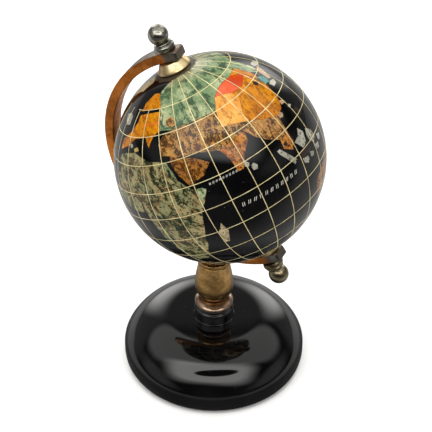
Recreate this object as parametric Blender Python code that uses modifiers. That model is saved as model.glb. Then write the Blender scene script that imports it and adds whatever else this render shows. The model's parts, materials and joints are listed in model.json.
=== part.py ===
"""Gemstone globe on a turned stand.

A black stone ball, with the lands of its map let in flush as cut stones, turns between two screws. They sit
in a bent meridian arm on a brass column and a glossy black base. Metres, +Z up. The origin is the middle
of the base's underside, the arm lies in the XZ plane, and the north pole leans towards -X. Run it with
Blender 4.5:
blender --background --python part.py
"""

import math

import bmesh
import bpy
from mathutils import Matrix, Vector

MM = 0.001

# Driving dimensions
GLOBE_R = 40 * MM
GLOBE_CENTRE = Vector((2.3 * MM, 0, 101.6 * MM))
AXIS_TILT = math.radians(27.9)
MAP_TURN = -24.9  # longitude, in degrees, that the map is turned by from the arm's plane of symmetry
STONE_THICK = 1.2 * MM
POCKET_DEPTH = STONE_THICK + 0.3 * MM
ARM_INNER_R = 43.9 * MM
ARM_OUTER_R = 47.7 * MM
ARM_WIDTH = 6.8 * MM
ARM_OFFSET = 0.4 * MM  # the bar's middle stands this far behind the screws' line, along +Y
ARM_OVERRUN = math.radians(5.9)  # how far the bar runs on past each pole
BASE_R = 36.1 * MM
BASE_TOP_Z = 27.6 * MM
GAP = 0.3 * MM  # left between pieces that touch

# Screws, caps and their bore
SHANK_R = 1.5 * MM
SHANK_TIP = 34.0 * MM  # distance from the ball's centre
BORE_R = SHANK_R + GAP
BORE_FLOOR = 33.4 * MM
FINIAL_BALL_R = 3.9 * MM
FINIAL_BALL_AT = 54.3 * MM

# Facets around each turned piece
BASE_SIDES = 40
COLUMN_SIDES = 20
SMALL_SIDES = 14
CAP_SIDES = 16
GLOBE_SEGMENTS = 32
GLOBE_RINGS = 16
ARM_STEPS = 26

PART_NAME = "gemstone_globe"

STONE_COLOURS = {
    "honey_stone": (0.72, 0.32, 0.03),
    "green_stone": (0.30, 0.42, 0.24),
    "coral_stone": (0.75, 0.12, 0.03),
    "peach_stone": (0.76, 0.42, 0.20),
    "brown_stone": (0.38, 0.24, 0.15),
    "rust_stone": (0.42, 0.20, 0.07),
    "speckled_stone": (0.20, 0.24, 0.15),
    "pale_stone": (0.62, 0.52, 0.38),
    "teal_stone": (0.10, 0.28, 0.30),
}

# Inlaid lands: kind of stone, then an outline of (longitude, latitude) in degrees, anticlockwise as seen
# from outside
LANDS = {
    "scandinavia": ("honey_stone", ((4, 59), (16, 60), (31, 60), (24, 70), (13, 70), (5, 64))),
    "europe": (
        "honey_stone",
        (
            (-11, 37), (-1, 40), (6, 44), (17, 45), (21, 39), (25, 45), (31, 47), (31, 58), (21, 58),
            (5, 57), (5, 53), (-2, 47), (-10, 43),
        ),
    ),
    "russia": (
        "green_stone",
        (
            (31, 47), (40, 46), (56, 46), (77, 45), (83, 52), (96, 56), (112, 56), (125, 57), (127, 48),
            (132, 45), (137, 48), (139, 59), (150, 62), (170, 64), (188, 70), (182, 80), (135, 82),
            (90, 80), (60, 78), (36, 76), (24, 70), (31, 60), (31, 58),
        ),
    ),
    "mongolia": ("coral_stone", ((83, 52), (89, 51), (97, 48), (108, 47), (121, 51), (112, 56), (96, 56))),
    "west_china": (
        "peach_stone",
        (
            (74, 36), (85, 33), (91, 31), (91, 36), (96, 42), (97, 48), (89, 51), (83, 52), (77, 45),
        ),
    ),
    "china": (
        "honey_stone",
        (
            (91, 31), (98, 27), (108, 23), (114, 24), (120, 30), (124, 41), (127, 48), (125, 57),
            (112, 56), (121, 51), (108, 47), (97, 48), (96, 42), (91, 36),
        ),
    ),
    "middle_east": (
        "brown_stone",
        (
            (30, 34), (36, 33), (40, 31), (52, 30), (63, 27), (66, 26), (84, 28), (91, 31), (85, 33),
            (74, 36), (77, 45), (56, 46), (40, 46), (33, 44), (29, 40),
        ),
    ),
    "arabia": (
        "rust_stone",
        (
            (36, 28), (39, 21), (43, 15), (53, 18), (58, 23), (51, 28), (40, 31), (36, 33),
        ),
    ),
    "india": ("peach_stone", ((66, 26), (69, 19), (70, 12), (73, 12), (77, 18), (83, 23), (84, 28))),
    "southeast_asia": (
        "brown_stone",
        (
            (84, 28), (88, 22), (93, 17), (99, 13), (106, 13), (108, 23), (98, 27), (91, 31),
        ),
    ),
    "malaya": ("peach_stone", ((99, 13), (98, 8), (103, 4), (106, 8), (106, 13))),
    "africa": (
        "speckled_stone",
        (
            (-9, 35), (-17, 21), (-14, 10), (-5, 5), (9, 4), (12, -16), (18, -35), (28, -34), (35, -22),
            (39, -12), (43, -1), (51, 11), (43, 13), (37, 20), (33, 30), (20, 32), (7, 37),
        ),
    ),
    "madagascar": ("pale_stone", ((45, -16), (45, -24), (48, -24), (51, -16), (49, -10))),
    "australia": (
        "rust_stone",
        (
            (114, -22), (115, -34), (130, -32), (138, -35), (150, -37), (153, -26), (142, -11),
            (129, -15),
        ),
    ),
    "canada": (
        "pale_stone",
        (
            (-140, 59), (-124, 49), (-95, 49), (-83, 45), (-66, 47), (-56, 52), (-65, 60), (-85, 66),
            (-95, 73), (-125, 71), (-150, 70), (-166, 66), (-160, 58),
        ),
    ),
    "usa": (
        "teal_stone",
        (
            (-124, 49), (-124, 40), (-117, 32), (-106, 31), (-97, 26), (-90, 29), (-81, 26), (-81, 32),
            (-70, 43), (-66, 47), (-83, 45), (-95, 49),
        ),
    ),
    "mexico": (
        "honey_stone",
        (
            (-117, 32), (-106, 20), (-94, 15), (-84, 9), (-83, 15), (-90, 20), (-97, 26), (-106, 31),
        ),
    ),
    "greenland": ("pale_stone", ((-58, 76), (-45, 60), (-26, 69), (-20, 76), (-40, 79))),
    "andes": (
        "coral_stone",
        (
            (-78, 8), (-81, -5), (-71, -18), (-74, -50), (-68, -53), (-62, -40), (-57, -34), (-58, -20),
            (-70, -10), (-70, 1), (-60, 5), (-72, 12),
        ),
    ),
    "brazil": (
        "green_stone",
        (
            (-60, 5), (-70, 1), (-70, -10), (-58, -20), (-57, -34), (-48, -27), (-39, -18), (-35, -7),
            (-50, 1),
        ),
    ),
    "antarctica": ("pale_stone", ((0, -70), (-60, -74), (-120, -74), (180, -73), (120, -68), (60, -68))),
}


# Scene, materials and small helpers


def clear_scene():
    for obj in list(bpy.data.objects):
        bpy.data.objects.remove(obj, do_unlink=True)


def new_collection(name, hidden=False):
    collection = bpy.data.collections.new(name)
    bpy.context.scene.collection.children.link(collection)
    collection.hide_render = hidden
    return collection


def make_material(name, color, roughness, metallic=0.0):
    material = bpy.data.materials.new(name)
    material.use_nodes = True
    shader = material.node_tree.nodes["Principled BSDF"]
    shader.inputs["Base Color"].default_value = (*color, 1.0)
    shader.inputs["Roughness"].default_value = roughness
    shader.inputs["Metallic"].default_value = metallic
    return material


def add_object(name, mesh, collection, material=None, parent=None):
    obj = bpy.data.objects.new(name, mesh)
    collection.objects.link(obj)
    obj.parent = parent
    if material:
        mesh.materials.append(material)
    return obj


def as_cutter(obj):
    obj.hide_render = True
    obj.display_type = "WIRE"
    return obj


def shade_round(mesh, sharp_degrees=35):
    mesh.shade_smooth()
    mesh.set_sharp_from_angle(angle=math.radians(sharp_degrees))


def turned(name, profile, sides, collection, material, parent=None, closed=False):
    """A profile of (radius, height) points in mm, top to bottom, turned about its Z axis."""
    points = [Vector((radius * MM, 0, height * MM)) for radius, height in profile]
    edges = [(i, i + 1) for i in range(len(points) - 1)]
    if closed:
        edges.append((len(points) - 1, 0))
    mesh = bpy.data.meshes.new(name)
    mesh.from_pydata(points, edges, [])
    obj = add_object(name, mesh, collection, material, parent)
    screw = obj.modifiers.new("Turn", "SCREW")
    screw.steps = screw.render_steps = sides
    screw.use_merge_vertices = True
    screw.merge_threshold = 0.00005
    screw.use_smooth_shade = True
    return obj


def cylinder(name, radius, low, high, sides, collection, parent=None):
    """A plain cylinder on the parent's Z axis, from height low to height high."""
    work = bmesh.new()
    bmesh.ops.create_cone(
        work, cap_ends=True, segments=sides, radius1=radius, radius2=radius, depth=high - low
    )
    bmesh.ops.translate(work, vec=(0, 0, (low + high) / 2), verts=work.verts)
    mesh = bpy.data.meshes.new(name)
    work.to_mesh(mesh)
    work.free()
    return as_cutter(add_object(name, mesh, collection, parent=parent))


def combine(obj, operation, other=None, collection=None):
    boolean = obj.modifiers.new(operation.capitalize(), "BOOLEAN")
    boolean.operation = operation
    boolean.solver = "EXACT"
    if collection:
        boolean.operand_type = "COLLECTION"
        boolean.collection = collection
    else:
        boolean.object = other


def cut(obj, cutter):
    combine(obj, "DIFFERENCE", cutter)


def arc_points(centre, radius, start_degrees, end_degrees, count):
    """Points (radius, height) in mm along an arc in the profile's plane."""
    points = []
    for i in range(count + 1):
        angle = math.radians(start_degrees + (end_degrees - start_degrees) * i / count)
        points.append((centre[0] + radius * math.cos(angle), centre[1] + radius * math.sin(angle)))
    return points


# Stand


def base_profile():
    """Collar, barely domed top, round shoulder and upright foot, from the axis down the outside."""
    foot_r = BASE_R / MM
    top = BASE_TOP_Z / MM
    flat_z = 21.9
    shoulder_r = 21.4
    shoulder_at = 17.1  # radius at which the top turns down
    fall = 0.2  # the top's fall from the collar out to the shoulder
    collar = [(0, top), (6.8, top), (7.0, 26.6), (7.5, 26.4), (7.8, 26.0), (7.8, flat_z + 0.3)]
    collar += [(8.1, flat_z), (13.0, flat_z - 0.3 * fall)]
    start, end = 87.5, 40  # where the shoulder's arc begins and ends, in degrees above level
    centre = (
        shoulder_at - shoulder_r * math.cos(math.radians(start)),
        flat_z - fall - shoulder_r * math.sin(math.radians(start)),
    )
    shoulder = arc_points(centre, shoulder_r, start, end, 6)
    foot_at, foot_z = shoulder[-1]
    crest = foot_z - (foot_r - foot_at) * math.tan(math.radians(90 - end))
    foot = [bend_point((foot_at, foot_z), (foot_r, crest), (foot_r, 7.6), i / 4) for i in range(1, 5)]
    foot += [(foot_r, 4.4), (foot_r - 0.3, 2.6), (foot_r - 1.3, 1.0), (foot_r - 3.3, 0), (0, 0)]
    return collar + shoulder + foot


def bend_point(start, corner, end, part):
    """The point a given part of the way round a soft bend from start to end, drawn towards the corner."""
    left = 1 - part
    return tuple(a * left**2 + b * 2 * part * left + c * part**2 for a, b, c in zip(start, corner, end))


def column_profile():
    """Neck, top disc, barrel, waist and flared ring, from the axis down the outside."""
    foot = BASE_TOP_Z / MM + GAP / MM
    top = (GLOBE_CENTRE.z - ARM_OUTER_R - GAP) / MM
    neck = [(0, top), (4.6, top), (4.6, 51.3)]
    disc = [(6.0, 51.1), (6.25, 50.8), (6.25, 49.9), (5.9, 49.5)]
    barrel = [(6.3, 49.1), (6.5, 46.8), (6.95, 44.4), (7.4, 41.6), (7.65, 38.4), (7.5, 36.2)]
    waist = [(6.9, 34.4), (6.0, 32.9), (5.1, 31.9), (4.9, 31.3)]
    ring = [(5.9, 30.5), (7.2, 29.8), (7.7, 29.3), (7.6, 28.6), (7.0, foot), (0, foot)]
    return neck + disc + barrel + waist + ring


def finial_profile():
    """Ball, neck, ringed collar and shank of one screw, from its outer end towards the ball."""
    ball_r = FINIAL_BALL_R / MM
    ball_at = FINIAL_BALL_AT / MM
    seat = (ARM_OUTER_R + GAP) / MM
    ball = arc_points((0, ball_at), ball_r, 90, -52, 9)
    ball[0] = (0, ball_at + ball_r)
    rings = [(2.3, 51.1), (3.4, 51.0), (3.5, 50.6), (3.3, 50.2), (3.9, 49.8), (4.05, 49.1), (3.8, seat)]
    shank_r = SHANK_R / MM
    shank = [(shank_r, seat), (shank_r, SHANK_TIP / MM + 0.8), (0, SHANK_TIP / MM)]
    return ball + rings + shank


def make_arm(parent, collection, material):
    """A flat bar with eased edges, bent from the north pole over the -X side to the south pole."""
    half = ARM_WIDTH / 2
    ease = 0.5 * MM
    corners = []
    for radius, inward in ((ARM_INNER_R, 1), (ARM_OUTER_R, -1)):
        for side in (-inward, inward):
            flat = Vector((side * (half - ease) + ARM_OFFSET, radius))
            edge = Vector((side * half + ARM_OFFSET, radius + inward * ease))
            corners += [edge, flat] if side == -inward else [flat, edge]
    work = bmesh.new()
    verts = [work.verts.new((0, across, radius)) for across, radius in corners]
    section = work.faces.new(verts)
    turn = Matrix.Rotation(ARM_OVERRUN, 4, "Y")
    bmesh.ops.transform(work, matrix=turn, verts=verts)
    bmesh.ops.spin(
        work,
        geom=[section, *section.edges, *section.verts],
        cent=(0, 0, 0),
        axis=(0, -1, 0),
        angle=math.pi + 2 * ARM_OVERRUN,
        steps=ARM_STEPS,
    )
    round_ends(work, [face for face in work.faces if len(face.verts) == len(corners)])
    bmesh.ops.recalc_face_normals(work, faces=work.faces)
    mesh = bpy.data.meshes.new("meridian_arm")
    work.to_mesh(mesh)
    work.free()
    shade_round(mesh)
    return add_object("meridian_arm", mesh, collection, material, parent)


def round_ends(work, ends):
    """Runs each end face on a little and draws it in, as a filed end."""
    for face in ends:
        middle = face.calc_center_median()
        outward = Vector((0, -1, 0)).cross(middle) if middle.z < 0 else Vector((0, 1, 0)).cross(middle)
        outward.normalize()
        made = bmesh.ops.extrude_face_region(work, geom=[face])["geom"]
        verts = [item for item in made if isinstance(item, bmesh.types.BMVert)]
        bmesh.ops.delete(work, geom=[face], context="FACES_ONLY")
        centre = middle + outward * 0.8 * MM
        for vert in verts:
            vert.co = centre + (vert.co - middle) * 0.84


# Globe


def sphere(name, radius, collection, parent):
    work = bmesh.new()
    bmesh.ops.create_uvsphere(work, u_segments=GLOBE_SEGMENTS, v_segments=GLOBE_RINGS, radius=radius)
    mesh = bpy.data.meshes.new(name)
    work.to_mesh(mesh)
    work.free()
    shade_round(mesh)
    return add_object(name, mesh, collection, parent=parent)


def direction(longitude, latitude):
    """The unit vector of a place on the map, in the frame of the globe's axis."""
    east = math.radians(longitude + MAP_TURN)
    north = math.radians(latitude)
    return Vector((math.cos(north) * math.sin(east), -math.cos(north) * math.cos(east), math.sin(north)))


def drawn_in(outline, distance):
    """The outline's corners as unit vectors, each side moved inwards by a distance on the ball's surface."""
    corners = [direction(*place) for place in outline]
    sides = [a.cross(b).normalized() for a, b in zip(corners, corners[1:] + corners[:1])]
    moved = []
    for corner, before, after in zip(corners, sides[-1:] + sides[:-1], sides):
        level = (before + after) * (distance / GLOBE_R) / (1 + before.dot(after))
        along = before.cross(after)
        if along.length < 0.001:
            moved.append((corner + level).normalized())
            continue
        along.normalize()
        if along.dot(corner) < 0:
            along.negate()
        moved.append(level + along * math.sqrt(1 - level.length_squared))
    return moved


def wedge(name, corners, collection, parent):
    """A pyramid from the ball's centre out through the corners, well past the surface."""
    work = bmesh.new()
    apex = work.verts.new((0, 0, 0))
    ring = [work.verts.new(corner * 2 * GLOBE_R) for corner in corners]
    for a, b in zip(ring, ring[1:] + ring[:1]):
        work.faces.new((apex, a, b))
    lid = work.faces.new(ring)
    bmesh.ops.triangulate(work, faces=[lid])
    bmesh.ops.recalc_face_normals(work, faces=work.faces)
    mesh = bpy.data.meshes.new(name)
    work.to_mesh(mesh)
    work.free()
    shade_round(mesh)
    return add_object(name, mesh, collection, parent=parent)


def cap_profile():
    """A brass cone washer: it sits on the ball and clears the arm."""
    top = (ARM_INNER_R - GAP) / MM
    bore = BORE_R / MM
    seat_r = (GLOBE_R + GAP) / MM
    under = [(radius, math.sqrt(seat_r**2 - radius**2)) for radius in (6.1, 4.0, bore)]
    return [(bore, top), (4.5, top), (4.8, top - 0.4), (6.2, 40.9), (6.5, 40.2)] + under


def main():
    clear_scene()
    parts = new_collection(PART_NAME)
    cutters = new_collection("cutters", hidden=True)
    pockets = new_collection("pockets", hidden=True)

    black_gloss = make_material("black_gloss", (0.006, 0.006, 0.007), 0.06)
    brass = make_material("aged_brass", (0.50, 0.31, 0.12), 0.32, 1.0)
    copper_bronze = make_material("copper_bronze", (0.42, 0.17, 0.06), 0.35, 1.0)
    pewter = make_material("pewter", (0.46, 0.45, 0.40), 0.24, 1.0)
    black_stone = make_material("black_stone", (0.008, 0.008, 0.009), 0.05)
    pale_brass = make_material("pale_brass", (0.78, 0.62, 0.33), 0.30, 1.0)

    axis = bpy.data.objects.new("globe_axis", None)
    axis.location = GLOBE_CENTRE
    axis.rotation_euler = (0, -AXIS_TILT, 0)
    parts.objects.link(axis)
    south = bpy.data.objects.new("south_side", None)
    south.rotation_euler = (math.pi, 0, 0)
    south.parent = axis
    parts.objects.link(south)

    turned("base", base_profile(), BASE_SIDES, parts, black_gloss)
    turned("column", column_profile(), COLUMN_SIDES, parts, brass)

    arm = make_arm(axis, parts, copper_bronze)
    ball = sphere("globe_ball", GLOBE_R, parts, axis)
    ball.data.materials.append(black_stone)
    pocket_floor = as_cutter(sphere("pocket_floor", GLOBE_R - POCKET_DEPTH, cutters, axis))
    stone_back = as_cutter(sphere("stone_back", GLOBE_R - STONE_THICK, cutters, axis))
    ball_surface = as_cutter(sphere("ball_surface", GLOBE_R, cutters, axis))
    stone_kinds = {kind: make_material(kind, color, 0.15) for kind, color in STONE_COLOURS.items()}
    for land, (kind, outline) in LANDS.items():
        as_cutter(wedge("pocket_" + land, drawn_in(outline, -GAP / 2), pockets, axis))
        stone = wedge("stone_" + land, drawn_in(outline, GAP / 2), parts, axis)
        stone.data.materials.append(stone_kinds[kind])
        combine(stone, "INTERSECT", ball_surface)
        combine(stone, "DIFFERENCE", stone_back)
    combine(ball, "DIFFERENCE", collection=pockets)
    combine(ball, "UNION", pocket_floor)

    for pole, side in (("north", axis), ("south", south)):
        turned("finial_" + pole, finial_profile(), SMALL_SIDES, parts, pewter, side)
        turned("cap_" + pole, cap_profile(), CAP_SIDES, parts, pale_brass, side, closed=True)
        low, high = ARM_INNER_R - 2 * MM, ARM_OUTER_R + 2 * MM
        hole = cylinder("arm_hole_" + pole, BORE_R, low, high, SMALL_SIDES, cutters, side)
        cut(arm, hole)
        bore = cylinder("bore_" + pole, BORE_R, BORE_FLOOR, GLOBE_R + 2 * MM, SMALL_SIDES, cutters, side)
        cut(ball, bore)
    cut(bpy.data.objects["stone_antarctica"], bore)


main()
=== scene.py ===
"""Gemstone globe on its turned stand, dressed for display.

A polished black ball carries a map of cut stones and inlaid wires, and turns between two ringed screws in a
copper-brown arm. A brass column holds the arm on a black lacquered foot. Everything is in metres, +Z up, and
each piece lies where its CAD node lies.
"""

import json
import logging
import math
from contextlib import contextmanager
from dataclasses import dataclass, field
from enum import Enum
from typing import Callable, Iterator

import bmesh
import bpy
from mathutils import Matrix, Vector, noise


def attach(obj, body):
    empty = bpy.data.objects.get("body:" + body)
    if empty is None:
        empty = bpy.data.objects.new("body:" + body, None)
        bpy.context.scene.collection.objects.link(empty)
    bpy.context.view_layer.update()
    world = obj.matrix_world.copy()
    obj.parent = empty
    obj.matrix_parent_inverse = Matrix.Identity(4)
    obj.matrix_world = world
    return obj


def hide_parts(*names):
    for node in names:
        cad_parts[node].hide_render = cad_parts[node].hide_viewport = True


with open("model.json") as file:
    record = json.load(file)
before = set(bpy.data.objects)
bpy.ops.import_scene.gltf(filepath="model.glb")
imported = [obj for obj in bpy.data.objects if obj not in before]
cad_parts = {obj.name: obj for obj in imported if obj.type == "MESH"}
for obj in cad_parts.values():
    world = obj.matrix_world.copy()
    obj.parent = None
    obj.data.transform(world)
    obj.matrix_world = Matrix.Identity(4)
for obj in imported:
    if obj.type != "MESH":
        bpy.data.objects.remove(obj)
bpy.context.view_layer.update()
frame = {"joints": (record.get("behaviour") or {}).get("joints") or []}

LOG = logging.getLogger("gemstone_globe")

MM = 0.001
MERGE = 0.002 * MM
CORNER_STEPS = 5
GRAIN_DEPTH = 0.02 * MM
# The dark brown of the ring round the caps: partly wear, partly painted shade beside the caps.
WORN_AND_SHADED = (0.03, 0.022, 0.016)
STAINED = (0.2, 0.14, 0.08)
Triple = tuple[float, float, float]
Profile = list[tuple[float, float]]
Outline = tuple[tuple[float, float], ...]
Material = bpy.types.Material
Node = bpy.types.Node
Piece = bpy.types.Object
Socket = bpy.types.NodeSocket
Tree = bpy.types.NodeTree


# Modelling by hand


def take(piece: Piece) -> None:
    """Selects one piece alone and makes it active."""
    bpy.ops.object.select_all(action="DESELECT")
    piece.select_set(True)
    bpy.context.view_layer.objects.active = piece


def name_piece(name: str) -> Piece:
    """Names the piece that was just added or joined.

    Args:
        name: The piece's name.

    Returns:
        The piece.
    """
    piece = bpy.context.active_object
    piece.name = piece.data.name = name
    return piece


@contextmanager
def editing(piece: Piece) -> Iterator[None]:
    """Opens one piece in edit mode with all of it selected, and closes it again.

    Args:
        piece: The mesh object to edit.

    Yields:
        Nothing; the operators act on the piece meanwhile.
    """
    take(piece)
    bpy.ops.object.mode_set(mode="EDIT")
    bpy.ops.mesh.select_mode(type="VERT")
    bpy.ops.mesh.select_all(action="SELECT")
    yield
    bpy.ops.object.mode_set(mode="OBJECT")


def pick(piece: Piece, kind: str, test: Callable[..., bool]) -> None:
    """Selects the edges or faces of a piece that pass a test, while it is in edit mode.

    Args:
        piece: The piece being edited.
        kind: "edges" or "faces".
        test: Says whether one element is selected.
    """
    bpy.ops.mesh.select_mode(type={"edges": "EDGE", "faces": "FACE"}[kind])
    bpy.ops.mesh.select_all(action="DESELECT")
    work = bmesh.from_edit_mesh(piece.data)
    for item in filter(test, getattr(work, kind)):
        item.select_set(True)
    work.select_flush_mode()
    bmesh.update_edit_mesh(piece.data)


def settle(piece: Piece, place: Matrix) -> None:
    """Puts a piece where it belongs and writes that place into its mesh.

    Args:
        piece: The finished piece.
        place: Where its own frame lies in the whole object.
    """
    take(piece)
    piece.matrix_world = place @ piece.matrix_world
    bpy.ops.object.transform_apply(location=True, rotation=True, scale=True)


def turn_out() -> None:
    """Turns the selected faces of the piece in edit mode outwards."""
    bpy.ops.mesh.normals_make_consistent(inside=False)


def close(piece: Piece) -> None:
    """Merges doubled vertices and turns every face outwards."""
    with editing(piece):
        bpy.ops.mesh.remove_doubles(threshold=MERGE)
        turn_out()


def smooth(piece: Piece, degrees: float = 30) -> None:
    """Shades a piece smooth, apart from edges sharper than an angle."""
    take(piece)
    bpy.ops.object.shade_smooth_by_angle(angle=math.radians(degrees))


def cut(piece: Piece, other: Piece, operation: str = "DIFFERENCE") -> None:
    """Cuts or trims a piece with another one.

    Args:
        piece: The piece that is changed.
        other: The piece it is changed with, which stays.
        operation: "DIFFERENCE" or "INTERSECT".
    """
    take(piece)
    saw = piece.modifiers.new("Cut", "BOOLEAN")
    saw.operation = operation
    saw.object = other
    saw.solver = "EXACT"
    bpy.ops.object.modifier_apply(modifier=saw.name)


def discard(*pieces: Piece) -> None:
    """Takes away pieces that only served to make others."""
    for piece in pieces:
        bpy.data.objects.remove(piece, do_unlink=True)


def copy_of(piece: Piece, name: str) -> Piece:
    """Copies a piece with a mesh of its own.

    Args:
        piece: The piece.
        name: The copy's name.

    Returns:
        The copy.
    """
    twin = piece.copy()
    twin.data = piece.data.copy()
    twin.name = twin.data.name = name
    bpy.context.scene.collection.objects.link(twin)
    return twin


def join(pieces: list[Piece], name: str) -> Piece:
    """Joins several pieces into the first of them.

    Args:
        pieces: The pieces.
        name: The name of the result.

    Returns:
        The joined piece.
    """
    take(pieces[0])
    for piece in pieces:
        piece.select_set(True)
    bpy.ops.object.join()
    return name_piece(name)


def bore(piece: Piece, radius: float, deep: float, height: float) -> None:
    """Bores a piece along its Z axis at both poles.

    Args:
        piece: The piece in the axis' frame.
        radius: The bore's radius in mm.
        deep: The drill's whole length in mm.
        height: The drill's middle above the centre in mm.
    """
    for place in (Matrix(), Matrix.Rotation(math.pi, 4, "X")):
        bpy.ops.mesh.primitive_cylinder_add(
            vertices=48, radius=radius * MM, depth=deep * MM, location=(0, 0, height * MM)
        )
        drill = name_piece("drill")
        settle(drill, place)
        cut(piece, drill)
        discard(drill)


def bow(start: Vector, middle: Vector, end: Vector, t: float) -> Vector:
    """A point on the curve from start to end that leans towards the middle."""
    return start * (1 - t) ** 2 + middle * 2 * t * (1 - t) + end * t**2


def soften(corners: list[tuple[float, float, float]]) -> Profile:
    """Rounds the corners of a profile.

    Args:
        corners: Radius, height and how far from the corner the rounding starts, all in mm.

    Returns:
        The finer profile as (radius, height) points.
    """
    points: Profile = []
    for i, (radius, height, reach) in enumerate(corners):
        here = Vector((radius, height))
        if i in (0, len(corners) - 1) or reach <= 0:
            points.append((radius, height))
            continue
        ways = [Vector(corners[j][:2]) - here for j in (i - 1, i + 1)]
        start, end = (here + way.normalized() * min(reach, way.length / 2) for way in ways)
        for k in range(CORNER_STEPS + 1):
            point = bow(start, here, end, k / CORNER_STEPS)
            if not points or (Vector(points[-1]) - point).length > 0.01:
                points.append(tuple(point))
    return points


def arc(centre: tuple[float, float], radius: float, start: float, end: float, count: int) -> Profile:
    """Points along an arc of a profile.

    Args:
        centre: Radius and height of the arc's centre, in mm.
        radius: The arc's radius, in mm.
        start: Angle of its first point, in degrees from the outward direction.
        end: Angle of its last point.
        count: Number of steps.

    Returns:
        The points as (radius, height).
    """
    angles = [math.radians(start + (end - start) * i / count) for i in range(count + 1)]
    return [(centre[0] + radius * math.cos(a), centre[1] + radius * math.sin(a)) for a in angles]


def lathe(name: str, profile: Profile, vertices: int, bored: bool = False) -> Piece:
    """Turns a profile about the Z axis by extruding a circle down along it.

    Args:
        name: The piece's name.
        profile: (radius, height) points in mm, from the top down the outside.
        vertices: Vertices around the piece.
        bored: Whether the profile closes on itself around a bore instead of ending in flat faces.

    Returns:
        The turned piece.
    """
    radius, height = profile[0]
    fill = "NOTHING" if bored else "NGON"
    bpy.ops.mesh.primitive_circle_add(
        vertices=vertices, radius=radius * MM, fill_type=fill, location=(0, 0, height * MM)
    )
    bpy.ops.object.transform_apply(location=True, rotation=False, scale=False)
    piece = name_piece(name)
    with editing(piece):
        for next_radius, next_height in profile[1:]:
            bpy.ops.mesh.extrude_region()
            if next_height != height:
                bpy.ops.transform.translate(value=(0, 0, (next_height - height) * MM))
            if next_radius != radius:
                grow = next_radius / radius
                bpy.ops.transform.resize(value=(grow, grow, 1), center_override=(0, 0, next_height * MM))
            radius, height = next_radius, next_height
        if bored:
            pick(piece, "edges", lambda edge: edge.is_boundary)
            bpy.ops.mesh.bridge_edge_loops()
        bpy.ops.mesh.select_all(action="SELECT")
        turn_out()
    return piece


# Materials


@dataclass(frozen=True)
class AxisFrame:
    """The frame of the globe's axis: its centre, and how far it leans towards -X."""

    centre: Vector
    tilt: float

    def pole(self, name: str) -> Matrix:
        """The frame with +Z out through the north or the south pole."""
        north = Matrix.Translation(self.centre) @ Matrix.Rotation(-self.tilt, 4, "Y")
        return north if name == "north" else north @ Matrix.Rotation(math.pi, 4, "X")


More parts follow.
